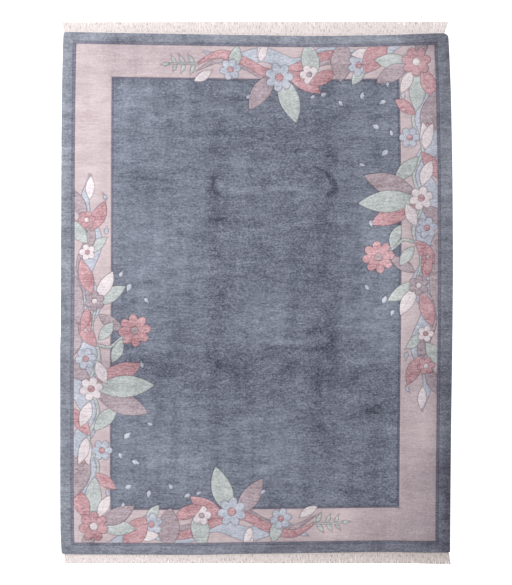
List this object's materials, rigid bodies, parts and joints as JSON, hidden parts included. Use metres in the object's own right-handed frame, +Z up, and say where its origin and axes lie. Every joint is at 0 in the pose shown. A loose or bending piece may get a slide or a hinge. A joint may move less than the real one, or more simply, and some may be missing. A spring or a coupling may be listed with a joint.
{
  "type": "rug",
  "caption": "Flat rectangular wool rug with a thick carved pile, two dark frame lines, and a cotton fringe along each short end.",
  "frame": {"origin": "middle of the whole rug, fringes included, on the floor under it", "axes": "+Z up from the floor, +Y along the rug towards the end at the top of the picture, +X to the right there"},
  "size_m": [2.513, 3.4594, 0.013],
  "materials": {
    "wool_pile": "blue-grey cut wool pile with a dull rose border",
    "cotton_fringe": "undyed cotton yarn"
  },
  "bodies": {
    "root": {"rug_body": "wool_pile", "fringe_top": "cotton_fringe", "fringe_bottom": "cotton_fringe"}
  },
  "joints": []
}
